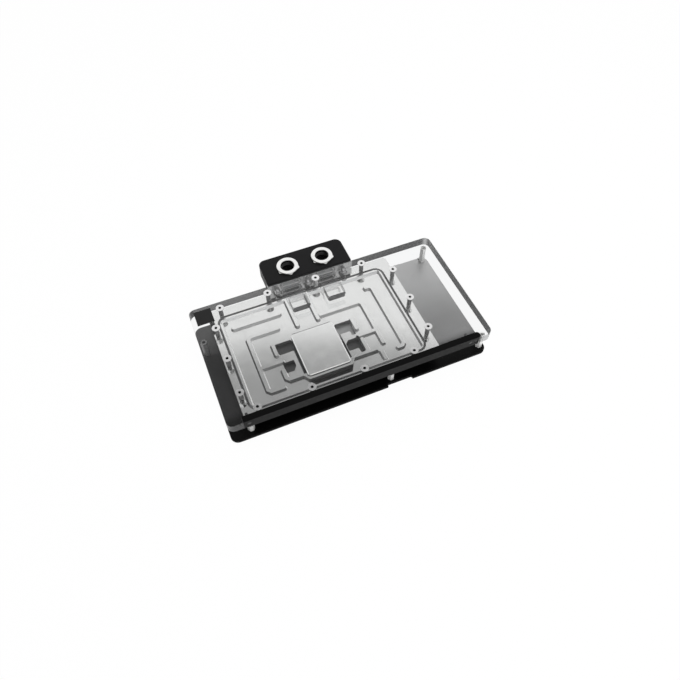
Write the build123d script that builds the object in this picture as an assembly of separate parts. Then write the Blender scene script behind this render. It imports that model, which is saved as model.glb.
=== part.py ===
from build123d import *
import os
from math import atan2, degrees, radians, tan

# Frame: origin at the bottom centre of the whole block, X along it, Y towards the terminal, Z up.
# Sheet places are given as (across, forward): from the cover's left edge, and forward from its back edge.

# Overall sizes
cover_length = 250.7
cover_width = 130.0
cover_thickness = 10.3
plate_thickness = 10.0
card_space = 8.5
backplate_thickness = 3.6

# General clearances
thread_clearance = 0.05
slip_clearance = 0.15
seat_gap = 0.03

# Cover
cover_corner_radius = 6.0
cover_edge_chamfer = 0.4

# Cold plate margins inside the cover's outline
plate_left_margin = 15.9
plate_right_margin = 47.8
plate_back_margin = 0.5
plate_front_margin = 5.5
plate_corner_radius = 3.0

# Flow chamber, measured from the cold plate's own edges
chamber_side_inset = 10.4
chamber_right_inset = 13.6
chamber_back_inset = 13.5
chamber_front_inset = 11.0
chamber_depth = 2.5
chamber_corner_radius = 2.0
wall_draft = 25.0
rib_top_width = 3.2
rib_bend = 2.4
trench_left_reach = 38.0
trench_right_reach = 47.4
trench_step = 0.6
trench_shoulder = 2.1
trench_lip = 3.4
trench_front_ledge = 0.3
trench_deep_reach = 17.5
trench_corner_radius = 0.8
island_left_reach = 39.4
island_right_reach = 39.2
rib_shelf_step = 6.2
sill_bend = 5.6
sill_spare = 0.4
island_ends = (-18.8, -8.2)
island_right_end = -7.6
side_rib_ends = (9.7, 5.7)
divider_places = (-10.5, 10.2)
divider_end = -32.0
pocket_radius = 1.2

# Middle lines of the guide ribs, as points (across, forward) from the middle of the fins
free_ribs = [
    [(-66.7, -51.5), (-22.0, -51.5)],
    [(-28.8, -35.8), (-58.4, -35.8), (-58.4, 26.4), (-44.7, 26.4)],
    [(-58.4, 0.3), (-37.2, 0.3)],
    [(13.8, -35.3), (55.7, -35.3), (55.7, 16.2)],
    [(37.8, 0.9), (55.7, 0.9)],
    [(66.8, -48.9), (72.7, -48.9), (72.7, 26.5), (66.4, 26.5)],
    [(39.2, 21.6), (50.4, 22.1), (50.4, 33.0)],
]

# Outlines of the deep pockets, as points (across, forward) from the middle of the fins
pocket_outlines = [
    [(-37.7, -20.4), (-21.7, -20.4), (-21.7, -7.7), (-37.7, -7.7)],
    [(-37.3, 1.6), (-26.6, 1.6), (-26.6, 8.2), (-29.9, 12.8), (-37.3, 12.8)],
    [(21.7, -20.4), (37.3, -20.4), (37.3, -3.0), (32.9, -3.0), (32.9, -8.0), (21.7, -8.0)],
    [(27.0, 0.8), (37.3, 0.8), (37.3, 17.8), (33.1, 17.8), (33.1, 12.4), (23.6, 12.4), (23.6, 4.2)],
]

# Gasket loop between chamber and cover screws
gasket_width = 2.0
gasket_height = 1.6
gasket_outer_inset = 1.9
gasket_side_clearance = 0.1
gasket_corner_radius = 5.0
gasket_edge_radius = 0.5

# Jet plate and fin field in the middle of the chamber
jet_centre_across = 101.7
jet_centre_forward = 78.5
jet_plate_length = 41.5
jet_plate_width = 48.7
jet_plate_radius = 3.0
jet_plate_chamfer = 0.4
jet_channel_width = 8.0
jet_channel_depth = 1.5
fin_height = 4.0
fin_thickness = 0.6
fin_pitch = 1.2
fin_count = 30
fin_bed_margin = 1.2
fin_root = 0.2
side_moat = 2.4

# Cover screws
screw_diameter = 4.0
screw_head_diameter = 7.6
screw_rim = 0.3
screw_socket_across = 2.5
screw_socket_depth = 1.8
screw_thread_depth = 6.0
screw_hole_spare = 1.5
screw_hole_clearance = 0.15
back_row_forward = 7.3
front_row_inset = 10.0
left_row_inset = 3.4
right_row_inset = 3.9

# Terminal block behind the cover
terminal_length = 86.6
terminal_depth = 31.5
terminal_lip = 1.0
terminal_gap = 0.05
terminal_height = 14.5
terminal_rise = 2.5
terminal_left = 78.8
terminal_back_radius = 6.5
terminal_front_radius = 1.0
terminal_edge_chamfer = 0.6

# Ports
port_thread_diameter = 13.16
port_way_diameter = 11.0
port_from_cover = 14.05
port_mouth_chamfer = 0.45
port_wall = 1.6
port_offset = 18.0
port_collar_land = 0.7
port_collar_height = 1.2
port_collar_seat = 1.0
collar_turn = 30.0
port_disc_overhang = 0.4
port_disc_chamfer = 0.35
port_disc_height = 0.9
port_body_depth = 6.0
port_seal_height = 1.2
port_seal_width = 1.4
port_seal_rounding = 0.3
port_cavity_depth = 5.0

# Water ducts from the terminal through the cover's back wall
duct_width = 17.5
duct_height = 4.5
duct_above_plate = 2.75
duct_front = 32.0
duct_offset = 2.4
duct_well_back = 14.5
duct_corner_radius = 2.0
duct_seal_section = 1.5
duct_seal_gap = 0.8
duct_seal_squeeze = 0.3

# Terminal screws and the threaded bushes that they go into
terminal_screw_diameter = 4.0
terminal_screw_head = 7.0
terminal_screw_head_height = 4.0
terminal_screw_grip = 12.0
terminal_screw_socket = 3.0
terminal_screw_socket_depth = 2.0
terminal_screw_head_chamfer = 0.3
terminal_screw_places = (7.5, 39.0, 76.5)
bush_diameter = 5.6
bush_length = 8.0
bush_spare = 2.0

# Light bar in the notch of the cover's front edge
bar_left = 13.5
bar_right_inset = 12.5
bar_depth = 6.0
bar_wall = 1.4
bar_left_block = 9.0
bar_right_block = 14.0
bar_end_radius = 2.6
board_thickness = 1.0
board_height = 7.4
led_size = 5.0
led_height = 1.5
led_pitch = 16.0
led_count = 12
bar_screw_diameter = 2.5
bar_screw_head = 3.6
bar_screw_head_height = 1.4
bar_screw_bite = 4.0
bar_screw_hole_spare = 0.5
bar_screw_setback = 0.2
bar_left_screw_inset = 4.8
bar_right_screw_inset = 9.8
socket_window_length = 5.0
socket_window_height = 4.6
socket_from_end = 4.6
socket_slot_width = 0.8
socket_slot_height = 3.2
socket_slot_pitch = 1.5
socket_slot_depth = 3.0
socket_setback = 0.3

# Badge, left bare
badge_size = 16.0
badge_left = 4.6
badge_back = 3.9
badge_thickness = 0.8
badge_recess = 0.6
badge_corner_radius = 0.6
badge_edge_chamfer = 0.15

# Backplate and what holds it
backplate_corner_radius = 7.0
backplate_edge_chamfer = 0.5
notch_left = 147.5
notch_length = 25.0
notch_depth = 2.5
notch_radius = 1.5
tab_left = 221.0
tab_length = 22.0
tab_width = 5.5
tab_depth = 1.0
post_across_flats = 5.5
post_thread_diameter = 3.0
post_thread_depth = 6.0
stud_length = 3.5
stud_hole_spare = 0.5
standoff_floor = 1.5
left_post_inset = 4.8
left_post_forward = 31.8
right_post_inset = 5.5
right_post_back = 4.5
front_post_inset = 7.5
back_standoff_forward = 3.9
front_standoffs = (19.3, 153.0)
back_standoffs = (36.0, 101.7, 185.0)
backplate_screw_head = 5.6
backplate_screw_length = 7.0
backplate_screw_socket = 2.0
backplate_screw_socket_depth = 1.2

# Underside of the cold plate
die_pedestal_length = 34.0
die_pedestal_width = 30.0
die_pedestal_height = 2.0
memory_pad_length = 15.0
memory_pad_width = 13.0
memory_pad_height = 1.0
memory_pad_offset = 31.0
memory_pad_pitch = 16.5
power_pad_length = 12.0
power_pad_width = 84.0
power_pad_height = 1.4
power_pad_offsets = (-57.0, 62.0)
pad_corner_radius = 1.0
card_bolt_spacing = 75.0
card_bolt_diameter = 3.0
card_bolt_depth = 5.5
access_hole_diameter = 7.0

# Levels and lines that follow from the sizes above
plate_bottom = backplate_thickness + card_space
plate_top = plate_bottom + plate_thickness
cover_bottom = plate_top + seat_gap
cover_top = cover_bottom + cover_thickness
chamber_floor = plate_top - chamber_depth
fin_floor = chamber_floor - fin_height
draft_run = chamber_depth * tan(radians(wall_draft))
plate_left = plate_left_margin
plate_right = cover_length - plate_right_margin
plate_back = plate_back_margin
plate_front = cover_width - plate_front_margin
chamber_left = plate_left + chamber_side_inset
chamber_right = plate_right - chamber_right_inset
chamber_back = plate_back + chamber_back_inset
chamber_front = plate_front - chamber_front_inset
bar_back = cover_width - bar_depth
bar_right = cover_length - bar_right_inset
bar_middle = cover_bottom + cover_thickness / 2
board_front = cover_width - bar_wall
board_back = board_front - board_thickness
terminal_top = cover_top + terminal_rise
terminal_bottom = terminal_top - terminal_height
terminal_middle = terminal_left + terminal_length / 2
port_places = (terminal_middle - port_offset, terminal_middle + port_offset)
port_forward = -port_from_cover
duct_places = tuple(across - duct_offset for across in port_places)
port_bore_radius = port_thread_diameter / 2
port_body_radius = port_bore_radius + port_wall
port_collar_across = 2 * (port_body_radius + port_seal_width + port_collar_land)
port_disc_diameter = port_collar_across + 2 * port_disc_overhang
duct_low = cover_bottom + duct_above_plate
duct_middle = duct_low + duct_height / 2
front_row_forward = cover_width - front_row_inset
left_row_across = plate_left + left_row_inset
right_row_across = plate_right - right_row_inset
sheet_centre_forward = (cover_width - terminal_depth) / 2


def spot(across, forward, height=0.0):
    """Place on the sheet, turned into the block's own frame."""
    return Location((across - cover_length / 2, sheet_centre_forward - forward, height))


def slab(left, right, back, front, low, high, radius=0.0):
    """Upright block between two heights, with rounded upright edges if a radius is given."""
    length = right - left
    width = front - back
    outline = RectangleRounded(length, width, radius) if radius else Rectangle(length, width)
    return spot((left + right) / 2, (back + front) / 2, low) * extrude(outline, high - low)


def post(across, forward, low, high, diameter):
    """Upright round bar or hole."""
    return spot(across, forward, low) * extrude(Circle(diameter / 2), high - low)


def hexagon(across, forward, low, high, flats, turn=0.0):
    """Upright hexagonal bar or socket, by its size across flats."""
    outline = RegularPolygon(flats / 2, 6, major_radius=False, rotation=turn)
    return spot(across, forward, low) * extrude(outline, high - low)


def lying_bar(across, height, back, front, diameter):
    """Round bar or hole that runs forward, between two forward places."""
    face = Plane(origin=spot(across, front, height).position, z_dir=(0, 1, 0)) * Circle(diameter / 2)
    return extrude(face, front - back)


def lying_slab(across, height, back, front, width, tall, radius):
    """Block that runs forward, with its section rounded."""
    plane = Plane(origin=spot(across, front, height).position, x_dir=(1, 0, 0), z_dir=(0, 1, 0))
    return extrude(plane * RectangleRounded(width, tall, radius), front - back)


def countersunk_screw(across, forward, top, length, thread, head, rim, socket, socket_depth):
    """Flat-headed socket screw that points down from its head's top face."""
    cone = (head - thread) / 2
    shank = post(across, forward, top - length, top - rim - cone, thread)
    taper = spot(across, forward, top - rim - cone / 2) * Cone(thread / 2, head / 2, cone)
    cap = post(across, forward, top - rim, top, head)
    return shank + taper + cap - hexagon(across, forward, top - socket_depth, top, socket)


def countersink(across, forward, top, thread, head, rim, clearance):
    """Seat for the head of a countersunk screw, open upwards."""
    cone = (head - thread) / 2
    grown = clearance / 2
    taper = spot(across, forward, top - rim - cone / 2)
    seat = taper * Cone(thread / 2 + grown, head / 2 + grown, cone)
    return seat + post(across, forward, top - rim, top + 1, head + clearance)


def cover_screw_places():
    """Centres of the cover screws, round the chamber."""
    back_row = [(across, back_row_forward) for across in (29.0, 76.0, 125.0, 173.7)]
    front_row = [(across, front_row_forward) for across in (29.0, 78.0, 127.0, 175.4)]
    left_row = [(left_row_across, forward) for forward in (28.3, 64.0, 101.3)]
    right_row = [(right_row_across, forward) for forward in (26.3, 64.0, 101.3)]
    return back_row + right_row + front_row + left_row


def cover_screws():
    """The identical screws that clamp the cover on the cold plate."""
    length = cover_thickness + screw_thread_depth
    return [
        countersunk_screw(
            across, forward, cover_top, length, screw_diameter, screw_head_diameter,
            screw_rim, screw_socket_across, screw_socket_depth,
        )
        for across, forward in cover_screw_places()
    ]


def bar_outline(grown, front):
    """Plan of the light bar, or of its notch when grown by a clearance."""
    left = bar_left - grown
    right = bar_right + grown
    back = bar_back - grown
    body = slab(left, right, back, front, cover_bottom, cover_top)
    ends = body.edges().filter_by(Axis.Z).group_by(Axis.X)[-1]
    rounded = ends.sort_by(Axis.Y)[-1:] if grown else ends
    return fillet(rounded, bar_end_radius + grown)


def duct_run(across, back, front):
    """Inside of one water duct that runs forward."""
    return lying_slab(across, duct_middle, back, front, duct_width, duct_height, duct_corner_radius)


def acrylic_cover():
    """Clear cover with its screw seats, ducts, light bar notch and badge recess."""
    body = slab(0, cover_length, 0, cover_width, cover_bottom, cover_top, cover_corner_radius)
    rims = body.edges().group_by(Axis.Z)
    body = chamfer(rims[0] + rims[-1], cover_edge_chamfer)
    body -= bar_outline(slip_clearance, cover_width + 1)
    for across, forward in cover_screw_places():
        body -= post(across, forward, plate_top, cover_top, screw_diameter + 2 * screw_hole_clearance)
        body -= countersink(
            across, forward, cover_top, screw_diameter, screw_head_diameter, screw_rim,
            2 * thread_clearance,
        )
    for across in duct_places:
        body -= duct_run(across, -1, duct_front)
        left = across - duct_width / 2
        body -= slab(
            left, left + duct_width, duct_well_back, duct_front, plate_top, duct_low + duct_height,
            duct_corner_radius,
        )
    for place in terminal_screw_places:
        hole = bush_diameter + 2 * thread_clearance
        body -= lying_bar(terminal_left + place, duct_middle, -1, bush_length, hole)
    for across in bar_screw_places():
        hole = bar_screw_diameter + 2 * thread_clearance
        end = bar_back - bar_screw_bite - bar_screw_hole_spare
        body -= lying_bar(across, bar_middle, end, bar_back + 1, hole)
    badge_room = badge_size + 2 * slip_clearance
    left = badge_left - slip_clearance
    back = badge_back - slip_clearance
    body -= slab(left, left + badge_room, back, back + badge_room, cover_top - badge_recess, cover_top + 1)
    return body


def rib_bar(start, end):
    """Straight stretch of a guide rib, with drafted sides and round ends."""
    run = end - start
    middle = (start + end) / 2
    turn = degrees(atan2(run.Y, run.X))
    foot = SlotCenterToCenter(run.length, rib_top_width + 2 * draft_run)
    return Pos(middle.X, middle.Y, chamber_floor) * Rot(0, 0, turn) * extrude(
        foot, chamber_depth, taper=wall_draft
    )


def rib(points):
    """Stretches of one guide rib along the middle line of its top, with its corners cut across."""
    line = [points[0]]
    for before, corner, after in zip(points, points[1:], points[2:]):
        line.append(corner + (before - corner).normalized() * rib_bend)
        line.append(corner + (after - corner).normalized() * rib_bend)
    line.append(points[-1])
    return [rib_bar(start, end) for start, end in zip(line, line[1:])]


def chamber_points(places):
    """Places counted from the middle of the fins, as points of the block's own frame."""
    return [
        spot(jet_centre_across + across, jet_centre_forward + forward).position
        for across, forward in places
    ]


def guide_ribs():
    """Ribs that lead the water from the inlet to the fins and out again."""
    half = jet_plate_length / 2
    sill = jet_plate_width / 2 + rib_top_width / 2 + draft_run + slip_clearance
    shelf = sill - rib_shelf_step
    head = chamber_back - draft_run - jet_centre_forward
    front_rib = [
        (-island_left_reach, side_rib_ends[0]), (-island_left_reach, shelf), (-half - sill_bend, shelf),
        (-half - sill_spare, sill), (half + sill_spare, sill), (half + sill_bend, shelf),
        (island_right_reach, shelf), (island_right_reach, side_rib_ends[1]),
    ]
    dividers = [[(across, head), (across, divider_end)] for across in divider_places]
    islands = [
        [(-island_left_reach, island_ends[0]), (-island_left_reach, island_ends[1])],
        [(island_right_reach, island_ends[0]), (island_right_reach, island_right_end)],
    ]
    paths = free_ribs + dividers + islands + [front_rib]
    return [bar for places in paths for bar in rib(chamber_points(places))]


def sunk_area(places, radius, floor):
    """Room cut down to a floor level, by its outline from the middle of the fins."""
    outline = Polygon(*[(place.X, place.Y) for place in chamber_points(places)], align=None)
    if radius:
        outline = fillet(outline.vertices(), radius)
    return extrude(Pos(0, 0, floor) * outline, plate_top - floor, dir=(0, 0, 1))


def deep_pockets():
    """Pockets beside the jet plate, where the water leaves the fins."""
    return [sunk_area(places, pocket_radius, fin_floor) for places in pocket_outlines]


def front_trench():
    """Channel in front of the fins that gathers the water, deepest in its middle."""
    jet_front = jet_plate_width / 2
    back = jet_front - trench_shoulder
    lip = jet_front + trench_lip
    narrow = jet_plate_length / 2
    wide = narrow + trench_shoulder + trench_lip / 2
    front = chamber_front - draft_run - trench_front_ledge - jet_centre_forward
    shallow = [
        (-trench_left_reach, front), (trench_right_reach, front), (trench_right_reach, back),
        (wide, back), (narrow, lip), (-narrow, lip), (-wide, back), (-trench_left_reach, back),
    ]
    side = (narrow + wide) / 2
    bend = (back + lip) / 2
    deep = [
        (-trench_deep_reach, front), (trench_deep_reach, front), (side, bend), (narrow, lip),
        (-narrow, lip), (-side, bend),
    ]
    step = sunk_area(shallow, trench_corner_radius, chamber_floor - trench_step)
    return step + sunk_area(deep, 0, fin_floor)


def fin_bed():
    """Hollow under the jet plate, that the fins stand in."""
    left = jet_centre_across - jet_plate_length / 2 - side_moat
    right = jet_centre_across + jet_plate_length / 2 + side_moat
    reach = fin_count * fin_pitch / 2 + fin_bed_margin
    back = jet_centre_forward - reach
    return slab(left, right, back, jet_centre_forward + reach, fin_floor, chamber_floor + 0.01)


def fins():
    """Thin parallel fins of the cold plate, across the water's way."""
    half = jet_plate_length / 2
    first = jet_centre_forward - (fin_count - 1) * fin_pitch / 2
    rows = [first + number * fin_pitch for number in range(fin_count)]
    return [
        slab(
            jet_centre_across - half, jet_centre_across + half,
            row - fin_thickness / 2, row + fin_thickness / 2, fin_floor - fin_root, chamber_floor,
        )
        for row in rows
    ]


def gasket_loop(grown, low, high):
    """Loop round the chamber, grown on both sides by a clearance."""
    inner = gasket_outer_inset - grown
    outer = gasket_outer_inset + gasket_width + grown
    loops = [
        slab(
            chamber_left - offset, chamber_right + offset, chamber_back - offset,
            chamber_front + offset, low, high, gasket_corner_radius + offset,
        )
        for offset in (outer, inner)
    ]
    return loops[0] - loops[1]


def main_gasket():
    """Rubber loop, pressed flat by the cover."""
    body = gasket_loop(0, plate_top - gasket_height, cover_bottom)
    rims = body.edges().group_by(Axis.Z)
    return fillet(rims[0] + rims[-1], gasket_edge_radius)


def underside_pads():
    """Raised contact faces for the chips of the card."""
    low = plate_bottom
    pads = []
    pads.append(centred_pad(0, 0, die_pedestal_length, die_pedestal_width, die_pedestal_height))
    for side in (-1, 1):
        for row in (-1, 0, 1):
            across = side * memory_pad_offset
            pads.append(centred_pad(
                across, row * memory_pad_pitch, memory_pad_width, memory_pad_length, memory_pad_height,
            ))
    for row in (-0.5, 0.5):
        pads.append(centred_pad(
            row * memory_pad_pitch, -memory_pad_offset, memory_pad_length, memory_pad_width,
            memory_pad_height,
        ))
    for across in power_pad_offsets:
        pads.append(centred_pad(across, 0, power_pad_length, power_pad_width, power_pad_height))
    return pads


def centred_pad(across, forward, length, width, height):
    """One contact pad, placed from the middle of the fins."""
    middle_across = jet_centre_across + across
    middle_forward = jet_centre_forward + forward
    return slab(
        middle_across - length / 2, middle_across + length / 2, middle_forward - width / 2,
        middle_forward + width / 2, plate_bottom - height, plate_bottom + 0.5, pad_corner_radius,
    )


def card_bolt_places():
    """Centres of the tapped holes for the card's own screws."""
    half = card_bolt_spacing / 2
    return [
        (jet_centre_across + side * half, jet_centre_forward + row * half)
        for side in (-1, 1)
        for row in (-1, 1)
    ]


def cold_plate():
    """Nickel-plated copper plate with chamber, ribs, fins, gasket groove and contact pads."""
    body = slab(
        plate_left, plate_right, plate_back, plate_front, plate_bottom, plate_top, plate_corner_radius,
    )
    outline = RectangleRounded(
        chamber_right - chamber_left, chamber_front - chamber_back, chamber_corner_radius,
    )
    middle = spot((chamber_left + chamber_right) / 2, (chamber_back + chamber_front) / 2, plate_top)
    body -= middle * extrude(outline, -chamber_depth, taper=wall_draft)
    for raised in guide_ribs():
        body += raised
    body -= front_trench()
    body -= fin_bed()
    for pocket in deep_pockets():
        body -= pocket
    for fin in fins():
        body += fin
    body -= gasket_loop(gasket_side_clearance, plate_top - gasket_height, plate_top + 1)
    for across, forward in cover_screw_places():
        hole = screw_diameter + 2 * thread_clearance
        low = plate_top - screw_thread_depth - screw_hole_spare
        body -= post(across, forward, low, plate_top + 1, hole)
    for pad in underside_pads():
        body += pad
    for across, forward in card_bolt_places():
        body -= post(across, forward, plate_bottom - 3, plate_bottom + card_bolt_depth, card_bolt_diameter)
    for across, forward in standoff_places():
        hole = post_thread_diameter + 2 * thread_clearance
        body -= post(across, forward, plate_bottom - 3, plate_bottom + stud_length + stud_hole_spare, hole)
    return body


def jet_plate():
    """Rounded square plate over the fins, with the feed channel in its underside."""
    left = jet_centre_across - jet_plate_length / 2
    back = jet_centre_forward - jet_plate_width / 2
    body = slab(
        left, left + jet_plate_length, back, back + jet_plate_width, chamber_floor, plate_top,
        jet_plate_radius,
    )
    body = chamfer(body.edges().group_by(Axis.Z)[-1], jet_plate_chamfer)
    channel_left = jet_centre_across - jet_channel_width / 2
    channel_front = jet_centre_forward + fin_count * fin_pitch / 2
    return body - slab(
        channel_left, channel_left + jet_channel_width, back - 1, channel_front,
        chamber_floor - 1, chamber_floor + jet_channel_depth,
    )


def badge_plate():
    """Small bare square on the cover's corner."""
    low = cover_top - badge_recess + seat_gap
    body = slab(
        badge_left, badge_left + badge_size, badge_back, badge_back + badge_size, low,
        low + badge_thickness, badge_corner_radius,
    )
    return chamfer(body.edges().group_by(Axis.Z)[-1], badge_edge_chamfer)


def terminal_block():
    """Black block that carries the two ports and leads the water into the cover."""
    left = terminal_left
    right = terminal_left + terminal_length
    body = slab(left, right, -terminal_depth, terminal_lip, terminal_bottom, terminal_top)
    uprights = body.edges().filter_by(Axis.Z).group_by(Axis.Y)
    body = fillet(uprights[-1], terminal_back_radius)
    uprights = body.edges().filter_by(Axis.Z).group_by(Axis.Y)
    body = fillet(uprights[0], terminal_front_radius)
    body = chamfer(body.edges().group_by(Axis.Z)[-1], terminal_edge_chamfer)
    low = terminal_bottom - 1
    body -= slab(left - 1, right + 1, -terminal_gap, terminal_lip + 1, low, cover_top + seat_gap)
    for port, duct in zip(port_places, duct_places):
        body -= port_hollow(port, duct)
        body -= duct_seal_loop(duct, thread_clearance, -duct_seal_section + duct_seal_squeeze, 1)
    for place in terminal_screw_places:
        across = terminal_left + place
        seat = -terminal_screw_grip
        hole = terminal_screw_diameter + 2 * screw_hole_clearance
        head_hole = terminal_screw_head + 4 * screw_hole_clearance
        body -= lying_bar(across, duct_middle, seat - 1, 1, hole)
        body -= lying_bar(across, duct_middle, -terminal_depth - 1, seat, head_hole)
    return body


def port_hollow(across, duct):
    """Seat of one port insert, and the water's way from it to the cover."""
    collar = port_collar_across + 2 * thread_clearance
    body_hole = 2 * (port_body_radius + thread_clearance)
    seal_hole = 2 * (port_body_radius + port_seal_width)
    collar_low = terminal_top - port_collar_seat
    body_low = terminal_top - port_body_depth
    floor = body_low - port_cavity_depth
    hollow = hexagon(across, port_forward, collar_low, terminal_top + 1, collar, collar_turn)
    hollow += post(across, port_forward, collar_low - port_seal_height, terminal_top, seal_hole)
    hollow += post(across, port_forward, body_low, terminal_top, body_hole)
    hollow += post(across, port_forward, floor, body_low, port_way_diameter)
    reach = port_forward + port_way_diameter / 2
    way = lying_slab(
        across, duct_middle, port_forward, reach + 2, port_way_diameter, duct_height, duct_corner_radius,
    )
    return hollow + way + duct_run(duct, reach, 1)


def duct_seal_loop(across, grown, back, front):
    """Oblong loop round a duct's mouth."""
    gap = 2 * (duct_seal_gap - grown)
    width = 2 * (duct_seal_gap + duct_seal_section + grown)
    outer = lying_slab(
        across, duct_middle, back, front, duct_width + width, duct_height + width,
        duct_corner_radius + width / 2,
    )
    inner = lying_slab(
        across, duct_middle, back - 1, front + 1, duct_width + gap, duct_height + gap,
        duct_corner_radius + gap / 2,
    )
    return outer - inner


def duct_seal(across):
    """Rubber ring pressed between terminal and cover."""
    return duct_seal_loop(across, 0, -duct_seal_section + duct_seal_squeeze, 0)


def port_insert(across):
    """Threaded insert with a hexagonal collar and a round rim."""
    collar_low = terminal_top - port_collar_seat
    collar_top = terminal_top + port_collar_height
    rim_top = collar_top + port_disc_height
    body_low = terminal_top - port_body_depth
    body = hexagon(across, port_forward, collar_low, collar_top, port_collar_across, collar_turn)
    disc = post(across, port_forward, collar_top, rim_top, port_disc_diameter)
    body += chamfer(disc.edges().group_by(Axis.Z)[-1], port_disc_chamfer)
    body += post(across, port_forward, body_low, collar_low, 2 * port_body_radius)
    body -= post(across, port_forward, body_low - 1, rim_top + 1, port_thread_diameter)
    return chamfer(body.edges().group_by(Axis.Z)[-1].sort_by(SortBy.LENGTH)[0], port_mouth_chamfer)


def port_seal(across):
    """Ring under an insert's collar."""
    top = terminal_top - port_collar_seat
    low = top - port_seal_height
    outer = 2 * (port_body_radius + port_seal_width - thread_clearance)
    inner = 2 * (port_body_radius + thread_clearance)
    body = post(across, port_forward, low, top, outer)
    body -= post(across, port_forward, low - 1, top + 1, inner)
    return fillet(body.edges(), port_seal_rounding)


def terminal_bushes():
    """Threaded metal bushes in the cover's back wall."""
    bushes = []
    for place in terminal_screw_places:
        across = terminal_left + place
        bush = lying_bar(across, duct_middle, 0, bush_length, bush_diameter)
        hole = terminal_screw_diameter + 2 * thread_clearance
        bushes.append(bush - lying_bar(across, duct_middle, -1, bush_length + 1, hole))
    return bushes


def terminal_screws():
    """Socket-headed screws from the terminal's back into the bushes."""
    screws = []
    for place in terminal_screw_places:
        across = terminal_left + place
        seat = -terminal_screw_grip
        shank = lying_bar(across, duct_middle, seat, bush_length - bush_spare, terminal_screw_diameter)
        back = seat - terminal_screw_head_height
        head = lying_bar(across, duct_middle, back, seat, terminal_screw_head)
        head = chamfer(head.edges().group_by(Axis.Y)[-1], terminal_screw_head_chamfer)
        floor = spot(across, back + terminal_screw_socket_depth, duct_middle).position
        outline = RegularPolygon(terminal_screw_socket / 2, 6, major_radius=False)
        socket = extrude(Plane(origin=floor, z_dir=(0, 1, 0)) * outline, terminal_screw_socket_depth + 1)
        screws.append(shank + head - socket)
    return screws


def light_bar():
    """Black channel, open towards the cover, with solid ends."""
    body = bar_outline(0, cover_width)
    left = bar_left + bar_left_block
    right = bar_right - bar_right_block
    low = cover_bottom + bar_wall
    high = cover_top - bar_wall
    front = cover_width - bar_wall
    body -= slab(left, right, bar_back - 1, front, low, high)
    for across in bar_screw_places():
        hole = bar_screw_diameter + 2 * screw_hole_clearance
        body -= lying_bar(across, bar_middle, bar_back - 1, cover_width + 1, hole)
        head_hole = bar_screw_head + 2 * screw_hole_clearance
        seat = cover_width - bar_screw_head_height
        body -= lying_bar(across, bar_middle, seat, cover_width + 1, head_hole)
    return body - socket_window(0.0, bar_back - 1, cover_width + 1)


def bar_screw_places():
    """Across places of the light bar's screws."""
    return (bar_left + bar_left_screw_inset, bar_right - bar_right_screw_inset)


def socket_window(shrunk, back, front):
    """Window of the plug socket in the bar's right end, or the socket itself."""
    across = bar_right - socket_from_end
    return lying_slab(
        across, bar_middle, back, front, socket_window_length - shrunk, socket_window_height - shrunk, 0.5,
    )


def led_socket():
    """Three-way socket body in the bar's end."""
    body = socket_window(2 * thread_clearance, bar_back, cover_width - socket_setback)
    for number in (-1, 0, 1):
        across = bar_right - socket_from_end + number * socket_slot_pitch
        body -= lying_slab(
            across, bar_middle, cover_width - socket_slot_depth, cover_width, socket_slot_width,
            socket_slot_height, socket_slot_width / 4,
        )
    return body


def light_bar_screws():
    """Black screws that hold the light bar on the cover."""
    screws = []
    for across in bar_screw_places():
        seat = cover_width - bar_screw_head_height
        shank = lying_bar(across, bar_middle, bar_back - bar_screw_bite, seat, bar_screw_diameter)
        head = lying_bar(across, bar_middle, seat, cover_width - bar_screw_setback, bar_screw_head)
        screws.append(shank + head)
    return screws


def led_board():
    """Strip board on the inside of the bar's front wall."""
    left = bar_left + bar_left_block + slip_clearance
    right = bar_right - bar_right_block - slip_clearance
    low = bar_middle - board_height / 2
    return slab(left, right, board_back, board_front, low, low + board_height)


def led_chips():
    """Row of square chips on the strip board."""
    run = (led_count - 1) * led_pitch
    first = (bar_left + bar_left_block + bar_right - bar_right_block - run) / 2
    chips = []
    for number in range(led_count):
        across = first + number * led_pitch
        low = bar_middle - led_size / 2
        chips.append(slab(
            across - led_size / 2, across + led_size / 2, board_back - led_height, board_back, low,
            low + led_size,
        ))
    return chips


def support_post_places():
    """Long posts outside the cold plate."""
    right = cover_length - right_post_inset
    front = cover_width - front_post_inset
    return [(left_post_inset, left_post_forward), (right, right_post_back), (right, front)]


def standoff_places():
    """Short posts under the cold plate."""
    front = cover_width - front_post_inset
    front_row = [(across, front) for across in front_standoffs]
    return front_row + [(across, back_standoff_forward) for across in back_standoffs]


def support_posts():
    """Long hexagonal posts from the backplate up to the cover."""
    posts = []
    for across, forward in support_post_places():
        body = hexagon(across, forward, backplate_thickness, cover_bottom, post_across_flats)
        hole = post_thread_diameter + 2 * thread_clearance
        low_end = backplate_thickness + post_thread_depth
        body -= post(across, forward, backplate_thickness - 1, low_end, hole)
        high_end = cover_bottom - post_thread_depth
        posts.append(body - post(across, forward, high_end, cover_bottom + 1, hole))
    return posts


def card_standoffs():
    """Short hexagonal standoffs with a stud up into the cold plate."""
    standoffs = []
    for across, forward in standoff_places():
        body = hexagon(across, forward, backplate_thickness, plate_bottom, post_across_flats)
        body += post(across, forward, plate_bottom, plate_bottom + stud_length, post_thread_diameter)
        hole = post_thread_diameter + 2 * thread_clearance
        top = backplate_thickness + min(post_thread_depth, card_space - standoff_floor)
        standoffs.append(body - post(across, forward, backplate_thickness - 1, top, hole))
    return standoffs


def backplate_screw_places():
    """Centres of all screws that hold the backplate."""
    return support_post_places() + standoff_places()


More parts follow.
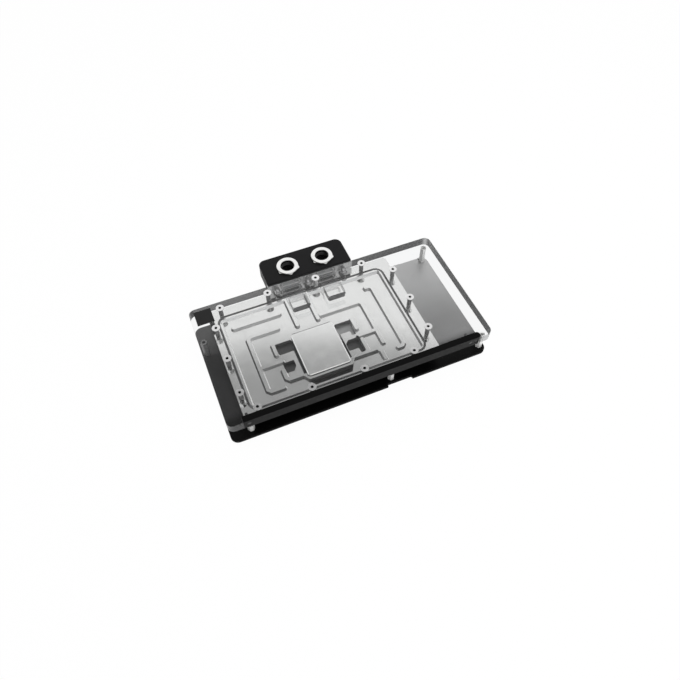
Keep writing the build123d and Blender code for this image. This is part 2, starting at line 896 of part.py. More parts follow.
def backplate_screws():
    """Countersunk screws from below into the posts."""
    screws = []
    for across, forward in backplate_screw_places():
        upright = countersunk_screw(
            across, forward, 0, backplate_screw_length, post_thread_diameter,
            backplate_screw_head, screw_rim, backplate_screw_socket, backplate_screw_socket_depth,
        )
        screws.append(mirror(upright, Plane.XY))
    return screws


def backplate():
    """Black plate behind the card, with its notch, tab recess and screw seats."""
    body = slab(0, cover_length, 0, cover_width, 0, backplate_thickness, backplate_corner_radius)
    rims = body.edges().group_by(Axis.Z)
    body = chamfer(rims[0] + rims[-1], backplate_edge_chamfer)
    notch = slab(
        notch_left, notch_left + notch_length, cover_width - notch_depth, cover_width + 5, -1,
        backplate_thickness + 1, notch_radius,
    )
    body -= notch
    body -= slab(
        tab_left, tab_left + tab_length, -1, tab_width, backplate_thickness - tab_depth,
        backplate_thickness + 1,
    )
    for across, forward in backplate_screw_places():
        hole = post_thread_diameter + 2 * screw_hole_clearance
        body -= post(across, forward, -1, backplate_thickness + 1, hole)
        seat = countersink(
            across, forward, 0, post_thread_diameter, backplate_screw_head, screw_rim,
            2 * thread_clearance,
        )
        body -= mirror(seat, Plane.XY)
    for across, forward in card_bolt_places():
        body -= post(across, forward, -1, backplate_thickness + 1, access_hole_diameter)
    return body


def save(name, shape):
    """Write one sub-part, a single piece or a group of like pieces."""
    pieces = shape if isinstance(shape, list) else [shape]
    solids = [solid for piece in pieces for solid in piece.solids()]
    export_step(Compound(children=solids) if len(solids) > 1 else solids[0], f"parts/{name}.step")


os.makedirs("parts", exist_ok=True)
left_port, right_port = port_places
left_duct, right_duct = duct_places
save("acrylic_cover", acrylic_cover())
save("cold_plate", cold_plate())
save("jet_plate", jet_plate())
save("main_gasket", main_gasket())
save("cover_screws", cover_screws())
save("badge_plate", badge_plate())
save("light_bar", light_bar())
save("light_bar_screws", light_bar_screws())
save("led_socket", led_socket())
save("led_board", led_board())
save("led_chips", led_chips())
save("terminal_block", terminal_block())
save("port_insert_left", port_insert(left_port))
save("port_insert_right", port_insert(right_port))
save("port_seal_left", port_seal(left_port))
save("port_seal_right", port_seal(right_port))
save("duct_seal_left", duct_seal(left_duct))
save("duct_seal_right", duct_seal(right_duct))
save("terminal_bushes", terminal_bushes())
save("terminal_screws", terminal_screws())
save("backplate", backplate())
save("support_posts", support_posts())
save("card_standoffs", card_standoffs())
save("backplate_screws", backplate_screws())
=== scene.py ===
import bpy
import math
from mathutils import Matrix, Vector

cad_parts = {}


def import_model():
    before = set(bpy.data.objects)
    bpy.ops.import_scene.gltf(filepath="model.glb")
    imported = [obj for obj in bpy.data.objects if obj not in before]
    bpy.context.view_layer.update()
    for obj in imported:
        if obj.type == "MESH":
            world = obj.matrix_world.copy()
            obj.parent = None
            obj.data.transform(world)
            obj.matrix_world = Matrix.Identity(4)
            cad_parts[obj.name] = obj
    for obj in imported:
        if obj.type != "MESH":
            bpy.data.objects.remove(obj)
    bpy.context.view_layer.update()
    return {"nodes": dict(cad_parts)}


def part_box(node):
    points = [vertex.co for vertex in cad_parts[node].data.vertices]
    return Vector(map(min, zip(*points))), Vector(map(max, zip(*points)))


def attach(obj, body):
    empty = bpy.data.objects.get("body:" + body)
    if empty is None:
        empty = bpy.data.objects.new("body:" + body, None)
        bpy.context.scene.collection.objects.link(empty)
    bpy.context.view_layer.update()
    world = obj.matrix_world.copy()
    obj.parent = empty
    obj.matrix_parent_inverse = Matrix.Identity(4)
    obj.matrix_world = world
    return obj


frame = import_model()
nodes = frame["nodes"]

# Looks of a liquid cooling block for a graphics card. All lengths are in metres.
# X runs along the block, Y towards the terminal with the two ports, Z up.
# A pair of limits holds the start and the end of one smooth step.

# Camera, where the photograph was taken from
camera_place = Vector((-0.12406, -0.31635, 0.4738))
camera_aim = Vector((0.2188, 0.5233, -0.8236))
camera_lens = 31.55
camera_sensor = 36.0
nearest_seen = 0.01
farthest_seen = 20.0
image_width = 680
shift_right = 0.25
shift_down = 0.7

# Floor
floor_size = 6.0
floor_corners = 96
floor_drop = 0.0003
floor_glow = 0.97
floor_shade = (0.92, 0.92, 0.92)

# Brightness of the surroundings, as the block mirrors them
bright_side = 1.0
grey_ceiling = 0.40
ceiling_dip = 0.14
bright_zenith = 0.8
front_level = 0.55
near_front = 0.40
far_front = 0.80
low_left = 0.45
high_left = 0.12

# Limits of those levels, along the axes of a direction of length 1
ceiling_height = (0.800, 0.840)
dip_height = (0.868, 0.895)
zenith_height = (0.905, 0.960)
front_height = (0.09, 0.17)
left_height = (0.28, 0.50)
front_side = (0.08, 0.26)
front_turn = (-0.4, 0.35)
left_turn = (-0.65, -0.35)

# Thread of the ports, with each point of its section as a share of width and of height
thread_pitch = 0.001337
thread_height = 0.0006
thread_width = 0.0011
thread_radius = 0.00658
thread_backing = 0.00002
thread_turns = 4.6
thread_steps = 48
thread_drop = 0.00165
thread_section = ((-0.5, 0.0), (-0.12, 1.0), (0.12, 1.0), (0.5, 0.0))

# Sizes that the materials need
plate_top = 0.0221
cover_top = 0.0324
screw_pitch = 0.0007
screw_ridge = 0.00012
# Width of the painted highlight band round the jet plate's top
jet_rim = 0.0011

# Noise that the finishes share
noise_detail = 3.0
noise_limits = (0.3, 0.7)
broad_share = 30
roughness_spread = 0.1

ports = ("port_insert_left", "port_insert_right")


def grey(level):
    """Neutral colour of one level."""
    return (level, level, level)


def opaque(colour):
    """A plain colour with full cover, or another node's output as it is."""
    return (*colour, 1.0) if isinstance(colour, tuple) else colour


def feed(tree, source, node, socket):
    """Links an output to one input of a node, or sets the input to a plain number."""
    if isinstance(source, (int, float)):
        node.inputs[socket].default_value = source
    else:
        tree.links.new(source, node.inputs[socket])


def set_inputs(node, **values):
    """Sets plain input values by name, with spaces written as underscores."""
    for name, value in values.items():
        node.inputs[name.replace("_", " ")].default_value = value
    return node


def calculate(tree, operation, first, second=0.0, clamp=False):
    """Output of a sum on two values, each a number or another node's output."""
    node = tree.nodes.new("ShaderNodeMath")
    node.operation = operation
    node.use_clamp = clamp
    feed(tree, first, node, 0)
    feed(tree, second, node, 1)
    return node.outputs[0]


def product(tree, *values):
    """Output of all values multiplied."""
    result = values[0]
    for value in values[1:]:
        result = calculate(tree, "MULTIPLY", result, value)
    return result


def inverse(tree, value):
    """One minus a value."""
    return calculate(tree, "SUBTRACT", 1.0, value)


def ramp(tree, value, limits, start, end):
    """Smooth change from start to end while a value goes from the low limit to the high one."""
    node = tree.nodes.new("ShaderNodeMapRange")
    node.interpolation_type = "SMOOTHSTEP"
    feed(tree, value, node, "Value")
    set_inputs(node, From_Min=limits[0], From_Max=limits[1], To_Min=start, To_Max=end)
    return node.outputs["Result"]


def after(tree, value, limits):
    """0 below the limits and 1 above them."""
    return ramp(tree, value, limits, 0.0, 1.0)


def before(tree, value, limits):
    """1 below the limits and 0 above them."""
    return ramp(tree, value, limits, 1.0, 0.0)


def mix(tree, data_type, socket_type, share, first, second):
    """Output of a mix of two values, each a plain one or another node's output."""
    node = tree.nodes.new("ShaderNodeMix")
    node.data_type = data_type
    feed(tree, share, node, "Factor")
    for name, value in (("A", first), ("B", second)):
        socket = [each for each in node.inputs if each.name == name and each.type == socket_type][0]
        if isinstance(value, bpy.types.NodeSocket):
            tree.links.new(value, socket)
        else:
            socket.default_value = value
    return [each for each in node.outputs if each.type == socket_type][0]


def mix_levels(tree, share, first, second):
    """Number that goes from first to second as the share goes from 0 to 1."""
    return mix(tree, "FLOAT", "VALUE", share, first, second)


def mix_colours(tree, share, first, second):
    """Colour that goes from first to second as the share goes from 0 to 1."""
    return mix(tree, "RGBA", "RGBA", share, opaque(first), opaque(second))


def mix_shaders(tree, share, first, second):
    """Surface that goes from first to second as the share goes from 0 to 1."""
    node = tree.nodes.new("ShaderNodeMixShader")
    for socket, source in enumerate((share, first, second)):
        feed(tree, source, node, socket)
    return node.outputs[0]


def place_of(tree):
    """The surface point in the block's own frame, whole and as its X, Y and Z."""
    place = tree.nodes.new("ShaderNodeTexCoord").outputs["Object"]
    parts = tree.nodes.new("ShaderNodeSeparateXYZ")
    feed(tree, place, parts, 0)
    return place, parts.outputs


def facing_of(tree):
    """X, Y and Z of the direction that the surface faces."""
    shape = tree.nodes.new("ShaderNodeNewGeometry")
    parts = tree.nodes.new("ShaderNodeSeparateXYZ")
    feed(tree, shape.outputs["True Normal"], parts, 0)
    return parts.outputs


def slant_of(tree):
    """How far the surface leans from level, 0 on a level face and 1 on an upright one."""
    return inverse(tree, calculate(tree, "ABSOLUTE", facing_of(tree)["Z"]))


def noise(tree, place, scale):
    """Value of a soft noise at a place, from 0 to 1."""
    node = set_inputs(tree.nodes.new("ShaderNodeTexNoise"), Scale=scale, Detail=noise_detail)
    feed(tree, place, node, "Vector")
    return node.outputs["Fac"]


def mottle(tree, place, scale, low, high):
    """Value that wanders between low and high over the surface."""
    return ramp(tree, noise(tree, place, scale), noise_limits, low, high)


def bump(tree, height, depth):
    """Normal that shows a height of a given depth."""
    node = set_inputs(tree.nodes.new("ShaderNodeBump"), Strength=1.0, Distance=depth)
    feed(tree, height, node, "Height")
    return node.outputs["Normal"]


def new_material(name, colour, metallic=0.0, specular=0.5):
    """Material with one main shader, and that shader."""
    material = bpy.data.materials.new(name)
    material.use_nodes = True
    shader = set_inputs(
        material.node_tree.nodes["Principled BSDF"], Base_Color=opaque(colour), Metallic=metallic,
        Specular_IOR_Level=specular,
    )
    return material, shader


def bare_material(name):
    """Material with no shader yet."""
    material = bpy.data.materials.new(name)
    material.use_nodes = True
    tree = material.node_tree
    tree.nodes.remove(tree.nodes["Principled BSDF"])
    return material, tree


def clear_acrylic():
    """Clear acrylic with a painted reflection on its polished walls, where real acrylic traps light."""
    clear_shade = (0.96, 0.962, 0.963)
    painted_front_tone = (0.05, 0.05, 0.052)
    painted_side_tone = (0.12, 0.12, 0.122)
    painted_back_shade = (0.05, 0.05, 0.052)
    painted_well_shade = (0.07, 0.07, 0.072)
    painted_light_by_terminal = (0.80, 0.80, 0.803)
    terminal_metal = 0.7
    wall_roughness = 0.25
    gloss_roughness = 0.03
    refraction = 1.49
    facing_blend = 0.5
    trapped_share = 0.97
    outer_share = 0.5
    upright_slant = (0.35, 0.75)
    glancing_view = (0.12, 0.42)
    front_end = (-0.078, -0.076)
    back_start = (0.0475, 0.0485)
    terminal_start = (0.0290, 0.0300)
    terminal_left = (-0.048, -0.046)
    terminal_right = (0.040, 0.042)
    wells_start = (0.010, 0.012)
    wells_end = (0.028, 0.029)
    wells_left = (-0.060, -0.057)
    wells_right = (0.026, 0.030)

    material, tree = bare_material("clear_acrylic")
    clear = set_inputs(tree.nodes.new("ShaderNodeBsdfTransparent"), Color=opaque(clear_shade))
    gloss = set_inputs(
        tree.nodes.new("ShaderNodeBsdfGlossy"), Color=opaque(grey(1.0)), Roughness=gloss_roughness,
    )
    wall = set_inputs(tree.nodes.new("ShaderNodeBsdfPrincipled"), Roughness=wall_roughness)
    _, parts = place_of(tree)
    terminal = product(
        tree, after(tree, parts["Y"], terminal_start), after(tree, parts["X"], terminal_left),
        before(tree, parts["X"], terminal_right),
    )
    wells = product(
        tree, after(tree, parts["Y"], wells_start), before(tree, parts["Y"], wells_end),
        after(tree, parts["X"], wells_left), before(tree, parts["X"], wells_right),
    )
    # Painted reflection on the walls: grey at the sides, darker at the front, the back and the wells, and
    # pale and partly metallic in front of the terminal.
    shade = mix_colours(tree, after(tree, parts["Y"], front_end), painted_front_tone, painted_side_tone)
    shade = mix_colours(tree, after(tree, parts["Y"], back_start), shade, painted_back_shade)
    shade = mix_colours(tree, terminal, shade, painted_light_by_terminal)
    feed(tree, mix_colours(tree, wells, shade, painted_well_shade), wall, "Base Color")
    feed(tree, product(tree, terminal, terminal_metal), wall, "Metallic")

    inside = tree.nodes.new("ShaderNodeNewGeometry").outputs["Backfacing"]
    outside = inverse(tree, inside)
    fresnel = set_inputs(tree.nodes.new("ShaderNodeFresnel"), IOR=refraction)
    shine = product(tree, fresnel.outputs[0], outside)
    sheet = mix_shaders(tree, shine, clear.outputs[0], gloss.outputs[0])

    edge = set_inputs(tree.nodes.new("ShaderNodeLayerWeight"), Blend=facing_blend)
    upright = after(tree, slant_of(tree), upright_slant)
    glancing = after(tree, edge.outputs["Facing"], glancing_view)
    trapped = product(tree, inside, glancing, trapped_share)
    seen = product(tree, outside, outer_share)
    ray = tree.nodes.new("ShaderNodeLightPath").outputs
    mirrored = product(tree, ray["Is Glossy Ray"], terminal)
    shown = calculate(tree, "MAXIMUM", ray["Is Camera Ray"], mirrored)
    direct = product(tree, calculate(tree, "ADD", trapped, seen), shown)
    cover = calculate(tree, "MULTIPLY", upright, direct, clamp=True)
    whole = mix_shaders(tree, cover, sheet, wall.outputs[0])
    feed(tree, whole, tree.nodes["Material Output"], "Surface")
    return material


def bright_nickel():
    """Nickel plating on the milled plate, rougher on its drafted slopes, with painted shade in its deep
    cuts, on its walls and on the slopes that face left or forward.
    """
    plate_shade = (0.87, 0.87, 0.86)
    painted_left_tones = (grey(0.13), grey(0.34))
    painted_front_tones = (grey(0.14), grey(0.52))
    painted_rear_highlight = grey(0.97)
    painted_deep_shade = grey(0.09)
    painted_shallow_tone = grey(0.42)
    painted_wall_shade = grey(0.12)
    slope_paint_share = 0.7
    slope_roughness = 0.42
    wall_slant = (0.7, 0.9)
    slope_slant = (0.35, 0.5)
    slope_end = (0.62, 0.75)
    turned = (-0.7, -0.3)
    deep_height = (plate_top - 0.0068, plate_top - 0.0030)
    chamber_start = (-0.064, -0.062)
    left_span = (-0.06, 0.0)
    front_span = (-0.055, 0.005)
    rear_span = (0.024, 0.030)
    pocket_overlap = 0.004
    pocket_offset = 0.002
    pocket_step = 0.001

    material, shader = new_material("bright_nickel", plate_shade)
    tree = material.node_tree
    place, parts = place_of(tree)
    slant = slant_of(tree)
    facing = facing_of(tree)
    steep = after(tree, slant, wall_slant)
    sloped = product(tree, after(tree, slant, slope_slant), before(tree, slant, slope_end))
    left = before(tree, facing["X"], turned)
    front = before(tree, facing["Y"], turned)
    deep = before(tree, parts["Z"], deep_height)
    chamber = after(tree, parts["Y"], chamber_start)
    wall = product(tree, steep, calculate(tree, "MAXIMUM", deep, product(tree, front, chamber)))

    # Painted shade on the slopes that face left, darker at the left end, and on those that face forward,
    # darker towards the front, with a painted highlight at the back.
    painted_left_tone = mix_colours(tree, after(tree, parts["X"], left_span), *painted_left_tones)
    painted_front_tone = mix_colours(tree, after(tree, parts["Y"], front_span), *painted_front_tones)
    painted_front_tone = mix_colours(tree, after(tree, parts["Y"], rear_span), painted_front_tone, painted_rear_highlight)
    slope = mix_colours(tree, front, plate_shade, painted_front_tone)
    slope = mix_colours(tree, left, slope, painted_left_tone)
    colour = mix_colours(tree, sloped, plate_shade, slope)
    # Painted shade in the deep cuts, lighter in the pocket right of and behind the jet plate's middle,
    # and painted shade on steep walls in the cuts and on the chamber's forward-facing walls.
    low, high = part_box("jet_plate")
    pocket_x = high[0] - pocket_overlap
    pocket_y = (low[1] + high[1]) / 2 + pocket_offset
    shallow = product(
        tree, after(tree, parts["X"], (pocket_x, pocket_x + pocket_step)),
        after(tree, parts["Y"], (pocket_y, pocket_y + pocket_step)),
    )
    colour = mix_colours(tree, deep, colour, mix_colours(tree, shallow, painted_deep_shade, painted_shallow_tone))
    feed(tree, mix_colours(tree, wall, colour, painted_wall_shade), shader, "Base Color")

    # Less metal on the walls and slopes, so that their painted shade shows.
    paint_share = calculate(tree, "MAXIMUM", wall, product(tree, sloped, slope_paint_share))
    feed(tree, inverse(tree, paint_share), shader, "Metallic")
    plain = mottle(tree, place, scale=90.0, low=0.07, high=0.13)
    rough = calculate(
        tree, "MAXIMUM", product(tree, sloped, slope_roughness), product(tree, deep, slope_roughness),
    )
    feed(tree, calculate(tree, "MAXIMUM", plain, rough), shader, "Roughness")
    return material


def jet_nickel():
    """Nickel of the jet plate, with a painted highlight in a band round its top edge, a painted dark line
    along its back edge and painted shade on its sides.
    """
    top_shade = (0.97, 0.97, 0.96)
    painted_back_edge_shade = grey(0.16)
    painted_side_tone = grey(0.10)
    rim_highlight_share = 0.85
    rim_end = 0.7 * jet_rim
    side_slant = (0.6, 0.8)

    material, shader = new_material("jet_nickel", top_shade)
    tree = material.node_tree
    place, parts = place_of(tree)
    low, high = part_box("jet_plate")
    beyond = []
    for axis, name in enumerate("XY"):
        middle = (low[axis] + high[axis]) / 2
        half = (high[axis] - low[axis]) / 2
        apart = calculate(tree, "ABSOLUTE", calculate(tree, "SUBTRACT", parts[name], middle))
        beyond.append(calculate(tree, "SUBTRACT", apart, half))
    # The band round the edge loses its metal, so its pale colour shows as a painted highlight; along the
    # back it is a painted dark line.
    rim = after(tree, calculate(tree, "MAXIMUM", *beyond), (-jet_rim, -rim_end))
    back = after(tree, parts["Y"], (high[1] - jet_rim, high[1] - rim_end))
    upright = after(tree, slant_of(tree), side_slant)
    colour = mix_colours(tree, back, top_shade, painted_back_edge_shade)
    feed(tree, mix_colours(tree, upright, colour, painted_side_tone), shader, "Base Color")
    feed(tree, inverse(tree, product(tree, rim, rim_highlight_share)), shader, "Metallic")
    feed(tree, mottle(tree, place, scale=90.0, low=0.07, high=0.13), shader, "Roughness")
    return material


def port_nickel():
    """Nickel plating of the port inserts, with painted shade in the bore and on the hexagon's rear
    corners.
    """
    ring_shade = (0.90, 0.90, 0.89)
    painted_dark_shade = grey(0.05)
    bore_edge = (thread_radius + 0.00005, thread_radius + 0.00015)
    corner_drop = 0.0008
    corner_step = 0.0002
    rear_start = 0.004
    rear_end = 0.002

    material, shader = new_material("port_nickel", ring_shade, metallic=1.0)
    tree = material.node_tree
    place, parts = place_of(tree)
    reach = []
    for port in ports:
        low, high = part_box(port)
        middle = (low[1] + high[1]) / 2
        across = calculate(tree, "SUBTRACT", parts["X"], (low[0] + high[0]) / 2)
        along = calculate(tree, "SUBTRACT", parts["Y"], middle)
        square = calculate(tree, "ADD", product(tree, across, across), product(tree, along, along))
        reach.append(calculate(tree, "SQRT", square))
    # Painted shade in the bore and on the hexagon's rear corners below its top.
    bore = before(tree, calculate(tree, "MINIMUM", *reach), bore_edge)
    corner_height = high[2] - corner_drop
    below = before(tree, parts["Z"], (corner_height, corner_height + corner_step))
    rear = after(tree, parts["Y"], (middle - rear_start, middle - rear_end))
    dark = calculate(tree, "MAXIMUM", bore, product(tree, below, rear))
    feed(tree, mix_colours(tree, dark, ring_shade, painted_dark_shade), shader, "Base Color")
    feed(tree, mottle(tree, place, scale=300.0, low=0.17, high=0.25), shader, "Roughness")
    return material


def post_nickel():
    """Satin nickel of the posts under the cover, with painted shade on the shafts behind the front row
    but not at the right end, and darker painted shade on the posts at the left corner.
    """
    post_shade = (0.85, 0.85, 0.84)
    painted_shaft_shade = grey(0.25)
    painted_corner_shade = grey(0.16)
    shaft_slant = (0.5, 0.8)
    front_row = (-0.06, -0.05)
    left_corner = (-0.105, -0.100)
    right_side = (0.080, 0.090)

    material, shader = new_material("post_nickel", post_shade, metallic=0.35)
    tree = material.node_tree
    place, parts = place_of(tree)
    # Painted shade on the shafts behind the front row and on the posts at the left corner.
    behind = after(tree, parts["Y"], front_row)
    shaft = product(tree, after(tree, slant_of(tree), shaft_slant), behind)
    corner = product(tree, before(tree, parts["X"], left_corner), behind)
    painted_side_tone = mix_colours(tree, after(tree, parts["X"], right_side), painted_shaft_shade, post_shade)
    shade = mix_colours(tree, shaft, post_shade, painted_side_tone)
    feed(tree, mix_colours(tree, corner, shade, painted_corner_shade), shader, "Base Color")
    feed(tree, mottle(tree, place, scale=300.0, low=0.3, high=0.4), shader, "Roughness")
    return material


def thread_steel():
    """Cut thread inside the ports, with painted shade on its flanks so that it shows bright on its crests
    only.
    """
    painted_flank_shade = grey(0.06)
    crest_shade = (0.75, 0.75, 0.74)
    crest_slant = (0.9, 0.99)

    material, shader = new_material("thread_steel", crest_shade, metallic=1.0)
    tree = material.node_tree
    place, _ = place_of(tree)
    # Painted shade on the flanks, the crests keep the steel's colour.
    crest = after(tree, slant_of(tree), crest_slant)
    feed(tree, mix_colours(tree, crest, painted_flank_shade, crest_shade), shader, "Base Color")
    feed(tree, mottle(tree, place, scale=300.0, low=0.1, high=0.16), shader, "Roughness")
    return material


def bright_steel():
    """Steel of the cover's screws, with painted shade in the sockets and on the shafts, darker in the
    left column, and a thread below the heads.
    """
    head_shade = grey(0.80)
    painted_shaft_shade = grey(0.52)
    painted_left_tone = grey(0.24)
    painted_socket_shade = grey(0.05)
    thread_slant = (0.9, 0.98)
    cone_start = (0.1, 0.2)
    cone_end = (0.5, 0.7)
    socket_floor = (cover_top - 0.00200, cover_top - 0.00190)
    socket_mouth = (cover_top - 0.00040, cover_top - 0.00030)
    head_end = (cover_top - 0.0038, cover_top - 0.0034)
    left_column = (-0.100, -0.098)

    material, shader = new_material("bright_steel", head_shade, metallic=1.0)
    tree = material.node_tree
    place, parts = place_of(tree)
    slant = slant_of(tree)
    ridge = calculate(tree, "SINE", product(tree, parts["Z"], 2 * math.pi / screw_pitch))
    steep = after(tree, slant, thread_slant)
    feed(tree, bump(tree, product(tree, ridge, steep), screw_ridge), shader, "Normal")
    cone = product(tree, after(tree, slant, cone_start), before(tree, slant, cone_end))
    # Painted shade in the sockets and on the shafts below the heads, darker in the left column.
    socket = product(
        tree, after(tree, parts["Z"], socket_floor), before(tree, parts["Z"], socket_mouth),
        inverse(tree, cone),
    )
    left = before(tree, parts["X"], left_column)
    shaft = before(tree, parts["Z"], head_end)
    colour = mix_colours(tree, shaft, head_shade, mix_colours(tree, left, painted_shaft_shade, painted_left_tone))
    feed(tree, mix_colours(tree, socket, colour, painted_socket_shade), shader, "Base Color")
    feed(tree, mottle(tree, place, scale=400.0, low=0.12, high=0.22), shader, "Roughness")
    return material


def grained_finish(name, colour, roughness, grain, depth, metallic=0.0, specular=0.5, side=None):
    """Surface with a fine grain, and on its upright sides a lighter shade of painted light where one is
    given.
    """
    side_slant = (0.5, 0.8)

    material, shader = new_material(name, colour, metallic, specular)
    tree = material.node_tree
    place, _ = place_of(tree)
    # Painted light on the upright sides, where a lighter side shade is given.
    if side:
        upright = after(tree, slant_of(tree), side_slant)
        feed(tree, mix_colours(tree, upright, colour, side), shader, "Base Color")
    feed(tree, bump(tree, noise(tree, place, grain), depth), shader, "Normal")
    smoother = roughness * (1 - roughness_spread)
    rougher = roughness * (1 + roughness_spread)
    feed(tree, mottle(tree, place, grain / broad_share, smoother, rougher), shader, "Roughness")
    return material


def terminal_with_painted_reflection():
    """Black acetal of the terminal, with a painted reflection in pale grey on the face that the clear
    cover's edge lies against, and painted light on its upright sides.
    """
    painted_cover_reflection = grey(0.8)
    front_end = (0.052, 0.054)
    cover_edge = (cover_top - 0.0004, cover_top - 0.0002)

    # Painted light on the upright sides, lighter than the top.
    material = grained_finish(
        "black_acetal", (0.006, 0.006, 0.0065), roughness=0.45, grain=6000.0, depth=0.00001,
        specular=0.15, side=grey(0.03),
    )
    tree = material.node_tree
    shader = tree.nodes["Principled BSDF"]
    _, parts = place_of(tree)
    # Painted reflection, pale grey, on the front face below the cover's edge.
    front = before(tree, parts["Y"], front_end)
    covered = before(tree, parts["Z"], cover_edge)
    first = shader.inputs["Base Color"].links[0].from_socket
    colour = mix_colours(tree, product(tree, front, covered), first, painted_cover_reflection)
    feed(tree, colour, shader, "Base Color")
    return material


def backplate_with_painted_sheen():
    """Black backplate with a painted sheen on its top, which grows lighter towards its right end and
    towards its back.
    """
    black = grey(0.002)
    painted_left_tones = ((0.048, 0.048, 0.049), grey(0.10))
    painted_right_tones = (grey(0.32), grey(0.54))
    level_slant = (0.1, 0.3)
    front_end = (-0.063, -0.050)
    right_start = (0.03, 0.08)
    left_back = (0.012, 0.016)
    right_span = (-0.040, 0.030)

    material, shader = new_material("black_backplate", black, specular=0.1)
    tree = material.node_tree
    place, parts = place_of(tree)
    # Painted reflection on the level top behind the front strip, metallic there, lighter to the right and
    # to the back.
    painted_sheen_top = product(tree, before(tree, slant_of(tree), level_slant), after(tree, parts["Y"], front_end))
    painted_left_tone = mix_colours(tree, after(tree, parts["Y"], left_back), *painted_left_tones)
    painted_right_tone = mix_colours(tree, after(tree, parts["Y"], right_span), *painted_right_tones)
    shade = mix_colours(tree, after(tree, parts["X"], right_start), painted_left_tone, painted_right_tone)
    feed(tree, mix_colours(tree, painted_sheen_top, black, shade), shader, "Base Color")
    feed(tree, painted_sheen_top, shader, "Metallic")
    feed(tree, mottle(tree, place, scale=60.0, low=0.42, high=0.50), shader, "Roughness")
    return material


def floor_material():
    """Pale floor that shows white, with a soft shadow."""
    material, tree = bare_material("pale_floor")
    plain = set_inputs(tree.nodes.new("ShaderNodeBsdfDiffuse"), Color=opaque(floor_shade))
    glow = set_inputs(tree.nodes.new("ShaderNodeEmission"), Color=opaque(grey(1.0)), Strength=1.0)
    ray = tree.nodes.new("ShaderNodeLightPath").outputs
    share = product(tree, ray["Is Camera Ray"], floor_glow)
    mixed = mix_shaders(tree, share, plain.outputs[0], glow.outputs[0])
    feed(tree, mixed, tree.nodes["Material Output"], "Surface")
    return material


def surroundings():
    """World that is white to the camera, and grey above, ahead and left where the nickel mirrors it."""
    world = bpy.data.worlds.new("studio")
    bpy.context.scene.world = world
    world.use_nodes = True
    tree = world.node_tree
    background = set_inputs(tree.nodes["Background"], Color=opaque(grey(1.0)))
    place = tree.nodes.new("ShaderNodeTexCoord")
    parts = tree.nodes.new("ShaderNodeSeparateXYZ")
    feed(tree, place.outputs["Generated"], parts, 0)
    across, along, height = parts.outputs
    ceiling = ramp(tree, height, ceiling_height, bright_side, grey_ceiling)
    dip = ramp(tree, height, dip_height, 0.0, ceiling_dip)
    zenith = ramp(tree, height, zenith_height, 0.0, bright_zenith + ceiling_dip - grey_ceiling)
    above = calculate(tree, "ADD", calculate(tree, "SUBTRACT", ceiling, dip), zenith)
    horizon = ramp(tree, across, front_side, near_front, far_front)
    front = mix_levels(tree, after(tree, height, front_height), horizon, front_level)
    ahead = after(tree, along, front_turn)
    left = ramp(tree, height, left_height, low_left, high_left)
    aside = after(tree, across, left_turn)
    level = mix_levels(tree, aside, left, mix_levels(tree, ahead, front, above))
    ray = tree.nodes.new("ShaderNodeLightPath").outputs
    feed(tree, calculate(tree, "MAXIMUM", ray["Is Camera Ray"], level), background, "Strength")


def pale_floor():
    """Round floor just below the block."""
    bpy.ops.mesh.primitive_circle_add(
        vertices=floor_corners, radius=floor_size / 2, fill_type="NGON", location=(0, 0, -floor_drop),
    )
    floor = bpy.context.object
    floor.name = "floor"
    floor.data.materials.append(floor_material())


def soft_lamp(name, place, size, energy):
    """Round soft lamp that points at the block and shows in no reflection."""
    data = bpy.data.lights.new(name, "AREA")
    data.shape = "DISK"
    data.size = size
    data.energy = energy
    lamp = bpy.data.objects.new(name, data)
    lamp.location = place
    lamp.visible_glossy = False
    lamp.rotation_euler = (-lamp.location).to_track_quat("-Z", "Y").to_euler()
    bpy.context.scene.collection.objects.link(lamp)


def camera():
    """Camera at the photograph's viewing angle."""
    data = bpy.data.cameras.new("camera")
    data.sensor_width = camera_sensor
    data.lens = camera_lens
    data.shift_x = -shift_right / image_width
    data.shift_y = shift_down / image_width
    data.clip_start = nearest_seen
    data.clip_end = farthest_seen
    made = bpy.data.objects.new("camera", data)
    made.location = camera_place
    made.rotation_euler = camera_aim.to_track_quat("-Z", "Y").to_euler()
    bpy.context.scene.collection.objects.link(made)
    bpy.context.scene.camera = made


def paint(material, *names):
    """Gives CAD nodes a material."""
    for name in names:
        data = nodes[name].data
        data.materials.clear()
        data.materials.append(material)


def port_thread(name):
    """Fine thread inside one port insert, which fades in and out over its first and last turn."""
    low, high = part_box(name)
    middle = (Vector(low) + Vector(high)) / 2
    steps = int(thread_turns * thread_steps)
    points = []
    for step in range(steps + 1):
        turn = 2 * math.pi * step / thread_steps
        drop = thread_drop + thread_pitch * step / thread_steps
        fade = min(1.0, step / thread_steps, (steps - step) / thread_steps)
        for lift, height in thread_section:
            radius = thread_radius + thread_backing - thread_height * height * fade
            points.append((
                middle.x + radius * math.cos(turn), middle.y + radius * math.sin(turn),
                high[2] - drop - lift * thread_width,
            ))
    row = len(thread_section)
    faces = []
    for step in range(steps):
        for side in range(row - 1):
            first = row * step + side
            faces.append((first, first + 1, first + row + 1, first + row))
    data = bpy.data.meshes.new(name + "_thread")
    data.from_pydata(points, [], faces)
    data.validate()
    thread = bpy.data.objects.new(name + "_thread", data)
    bpy.context.scene.collection.objects.link(thread)
    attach(thread, "root")
    return thread


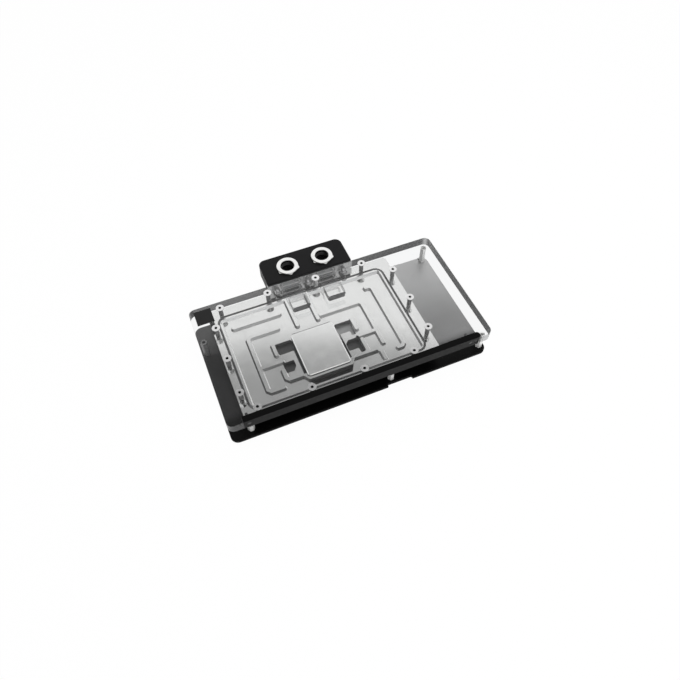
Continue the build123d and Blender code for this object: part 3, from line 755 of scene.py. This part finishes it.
surroundings()
pale_floor()
soft_lamp("top_lamp", place=(0.25, 0.1, 1.1), size=0.9, energy=7.0)
soft_lamp("front_lamp", place=(0.1, -1.1, 0.25), size=0.6, energy=3.0)
camera()
paint(clear_acrylic(), "acrylic_cover")
paint(bright_nickel(), "cold_plate")
paint(jet_nickel(), "jet_plate")
paint(post_nickel(), "support_posts", "card_standoffs")
paint(port_nickel(), *ports)
thread_look = thread_steel()
for port in ports:
    port_thread(port).data.materials.append(thread_look)
paint(bright_steel(), "cover_screws")
paint(
    grained_finish("black_rubber", grey(0.11), roughness=0.6, grain=4000.0, depth=0.00002),
    "main_gasket", "port_seal_left", "port_seal_right",
)
# The duct seals are black rubber; their light grey is painted light round the terminal's ducts.
paint(
    grained_finish("seal_rubber_painted_light", grey(0.4), roughness=0.6, grain=4000.0, depth=0.00002),
    "duct_seal_left", "duct_seal_right",
)
paint(terminal_with_painted_reflection(), "terminal_block")
# Painted light on the light bar's upright sides, lighter than its top.
paint(
    grained_finish(
        "black_anodised", grey(0.003), roughness=0.45, grain=8000.0, depth=0.000006, specular=0.05,
        side=grey(0.02),
    ), "light_bar",
)
paint(
    grained_finish("badge_black", grey(0.012), roughness=0.35, grain=6000.0, depth=0.00001, specular=0.2),
    "badge_plate",
)
paint(backplate_with_painted_sheen(), "backplate")
paint(
    grained_finish("dark_steel", grey(0.12), roughness=0.15, grain=4000.0, depth=0.000004, metallic=1.0),
    "terminal_screws",
)
paint(
    grained_finish("bush_steel", grey(0.55), roughness=0.3, grain=4000.0, depth=0.000004, metallic=1.0),
    "terminal_bushes",
)
paint(
    grained_finish("black_screws", grey(0.02), roughness=0.35, grain=3000.0, depth=0.00001),
    "light_bar_screws", "backplate_screws",
)
paint(
    grained_finish("black_plastic", grey(0.02), roughness=0.4, grain=3000.0, depth=0.00001), "led_socket",
)
paint(
    grained_finish("light_board", (0.01, 0.015, 0.02), roughness=0.4, grain=3000.0, depth=0.00001),
    "led_board",
)
paint(
    grained_finish("light_chips", (0.8, 0.78, 0.7), roughness=0.3, grain=3000.0, depth=0.00001),
    "led_chips",
)

bpy.context.scene.view_settings.view_transform = "Standard"
